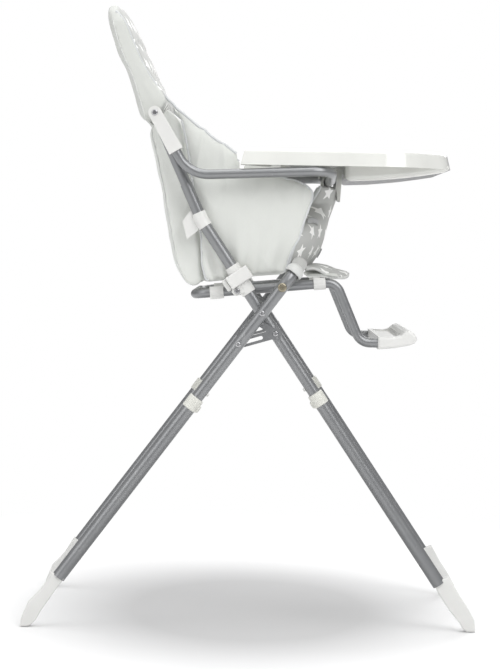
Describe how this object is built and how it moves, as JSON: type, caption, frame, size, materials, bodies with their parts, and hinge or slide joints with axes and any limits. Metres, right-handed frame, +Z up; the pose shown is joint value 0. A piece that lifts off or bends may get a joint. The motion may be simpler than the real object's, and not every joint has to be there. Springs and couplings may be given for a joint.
{
  "type": "baby high chair",
  "caption": "Folding baby high chair with a tubular cross-leg frame, padded fabric seat, swing-up armrest, lift-off tray and footrest.",
  "frame": {"origin": "on the floor, at the middle of the chair's footprint", "axes": "+Z up, the child faces -Y, +X towards the child's left"},
  "size_m": [0.4992, 0.757, 1.0443],
  "materials": {
    "silver_tube": "satin silver-grey powder coat",
    "white_plastic": "satin moulded",
    "tray_white": "glossy moulded",
    "seat_fabric": "wipe-clean woven, matt",
    "star_fabric": "wipe-clean woven, printed with stars",
    "webbing": "woven webbing",
    "chrome_screws": "bright",
    "zinc_bolts": "yellow zinc plated",
    "spring_steel": "plain",
    "button_plastic": "satin moulded",
    "buckle_plastic": "satin moulded",
    "buckle_red": "satin moulded"
  },
  "bodies": {
    "front_frame": {"front_leg_tube_right": "silver_tube", "front_leg_tube_left": "silver_tube", "front_lower_leg_right": "silver_tube", "front_lower_leg_left": "silver_tube", "front_collar_right": "white_plastic", "front_collar_left": "white_plastic", "front_foot_right": "white_plastic", "front_foot_left": "white_plastic", "front_button_springs": "spring_steel", "back_hoop": "silver_tube", "back_clips": "white_plastic", "link_pivot_screws": "chrome_screws", "head_cover": "seat_fabric", "back_panel": "seat_fabric", "side_panel_right": "seat_fabric", "side_panel_left": "seat_fabric", "shoulder_straps": "webbing"},
    "rear_frame": {"rear_upper_frame": "silver_tube", "rear_lower_leg_right": "silver_tube", "rear_lower_leg_left": "silver_tube", "rear_collar_right": "white_plastic", "rear_collar_left": "white_plastic", "rear_foot_right": "white_plastic", "rear_foot_left": "white_plastic", "rear_button_springs": "spring_steel", "main_pivot_screws": "chrome_screws", "seat_pivot_bolts": "zinc_bolts", "link_bolts": "chrome_screws", "crotch_panel": "star_fabric"},
    "seat_frame": {"seat_tube": "silver_tube", "footrest": "white_plastic", "rear_seat_clips": "white_plastic", "front_seat_clips": "white_plastic", "seat_pad": "seat_fabric", "seat_flap": "star_fabric", "crotch_strap": "webbing", "waist_straps": "webbing", "harness_buckle": "buckle_plastic"},
    "slide_blocks": {"slide_block_right": "white_plastic", "slide_block_left": "white_plastic", "block_screws": "chrome_screws"},
    "latch_right": {"latch_pull_right": "white_plastic"},
    "latch_left": {"latch_pull_left": "white_plastic"},
    "link_plates": {"link_plate_right": "silver_tube", "link_plate_left": "silver_tube"},
    "armrest": {"armrest_tube": "silver_tube", "arm_socket_right": "white_plastic", "arm_socket_left": "white_plastic", "arm_hinge_screws": "chrome_screws"},
    "tray": {"tray": "tray_white", "tray_clips": "tray_white", "tray_hook": "tray_white"},
    "button_front_right": {"front_leg_button_right": "button_plastic"},
    "button_front_left": {"front_leg_button_left": "button_plastic"},
    "button_rear_right": {"rear_leg_button_right": "button_plastic"},
    "button_rear_left": {"rear_leg_button_left": "button_plastic"},
    "buckle_button": {"buckle_button": "buckle_red"}
  },
  "joints": [
    {"name": "fold", "type": "hinge", "parent": "front_frame", "child": "rear_frame", "pos_m": [0, -0.014, 0.526], "axis": [-1, 0, 0], "range_deg": [0, 55], "deforming": ["crotch_panel", "side_panel_right", "side_panel_left", "back_panel", "seat_pad", "crotch_strap", "waist_straps", "shoulder_straps"]},
    {"name": "seat_fold", "type": "hinge", "parent": "rear_frame", "child": "seat_frame", "pos_m": [0, -0.04645, 0.56954], "axis": [1, 0, 0], "range_deg": [0, 93.58]},
    {"name": "block_slide", "type": "slide", "parent": "front_frame", "child": "slide_blocks", "axis": [0, 0.5606, 0.8281], "range_m": [0, 0.06781]},
    {"name": "latch_right_pull", "type": "slide", "parent": "slide_blocks", "child": "latch_right", "axis": [0, 0.8281, -0.5606], "range_m": [0, 0.007], "stiffness_N_per_m": 400, "springref_m": -0.002},
    {"name": "latch_left_pull", "type": "slide", "parent": "slide_blocks", "child": "latch_left", "axis": [0, 0.8281, -0.5606], "range_m": [0, 0.007], "stiffness_N_per_m": 400, "springref_m": -0.002},
    {"name": "link_turn", "type": "hinge", "parent": "front_frame", "child": "link_plates", "pos_m": [0, -0.03682, 0.4923], "axis": [-1, 0, 0], "range_deg": [0, 68.39]},
    {"name": "armrest_swing", "type": "hinge", "parent": "front_frame", "child": "armrest", "pos_m": [0, 0.1682, 0.8536], "axis": [-1, 0, 0], "range_deg": [0, 88]},
    {"name": "tray_lift", "type": "slide", "parent": "armrest", "child": "tray", "axis": [0, 0, 1], "range_m": [0, 0.08]},
    {"name": "front_button_right_press", "type": "slide", "parent": "front_frame", "child": "button_front_right", "axis": [0, -0.8281, 0.5606], "range_m": [0, 0.003], "stiffness_N_per_m": 600, "springref_m": -0.001, "deforming": ["front_button_springs"]},
    {"name": "front_button_left_press", "type": "slide", "parent": "front_frame", "child": "button_front_left", "axis": [0, -0.8281, 0.5606], "range_m": [0, 0.003], "stiffness_N_per_m": 600, "springref_m": -0.001, "deforming": ["front_button_springs"]},
    {"name": "rear_button_right_press", "type": "slide", "parent": "rear_frame", "child": "button_rear_right", "axis": [0, 0.8018, 0.5976], "range_m": [0, 0.003], "stiffness_N_per_m": 600, "springref_m": -0.001, "deforming": ["rear_button_springs"]},
    {"name": "rear_button_left_press", "type": "slide", "parent": "rear_frame", "child": "button_rear_left", "axis": [0, 0.8018, 0.5976], "range_m": [0, 0.003], "stiffness_N_per_m": 600, "springref_m": -0.001, "deforming": ["rear_button_springs"]},
    {"name": "buckle_press", "type": "slide", "parent": "seat_frame", "child": "buckle_button", "axis": [0, 0, -1], "range_m": [0, 0.002], "stiffness_N_per_m": 500, "springref_m": -0.001}
  ],
  "couplings": [
    {"joint": "seat_fold", "follows": "fold", "ratio": 1.7013},
    {"joint": "block_slide", "follows": "fold", "m_per_rad": 0.070627},
    {"joint": "link_turn", "follows": "fold", "ratio": 1.2432}
  ]
}
